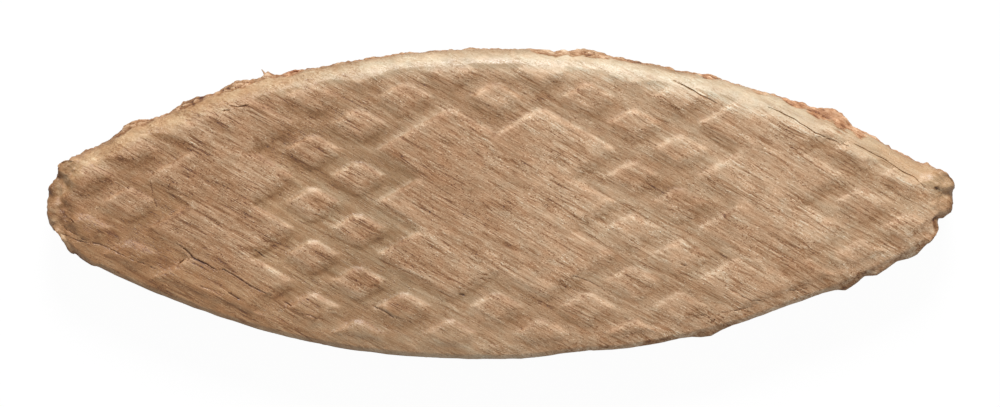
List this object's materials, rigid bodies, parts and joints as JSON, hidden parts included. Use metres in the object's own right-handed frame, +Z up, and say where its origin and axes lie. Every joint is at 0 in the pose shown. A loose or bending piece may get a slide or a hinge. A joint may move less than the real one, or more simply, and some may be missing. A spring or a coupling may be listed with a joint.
{
  "type": "jointing biscuit",
  "caption": "Flat lens of compressed beech with rolled edges, blunt torn ends and a stamped rhombic net on both faces, glued into slots to join boards.",
  "frame": {"origin": "on the surface that the biscuit lies on, under the middle of its box", "axes": "+X along the length, towards the tip at the picture's right; +Y across the width, towards the picture's upper edge; +Z up, out of the face that the picture shows"},
  "size_m": [0.0532, 0.0183, 0.004],
  "materials": {
    "compressed_beech": "bare compressed beech, matt, with open grain and torn fibre at its edge"
  },
  "bodies": {
    "root": {"biscuit": "compressed_beech"}
  },
  "joints": []
}
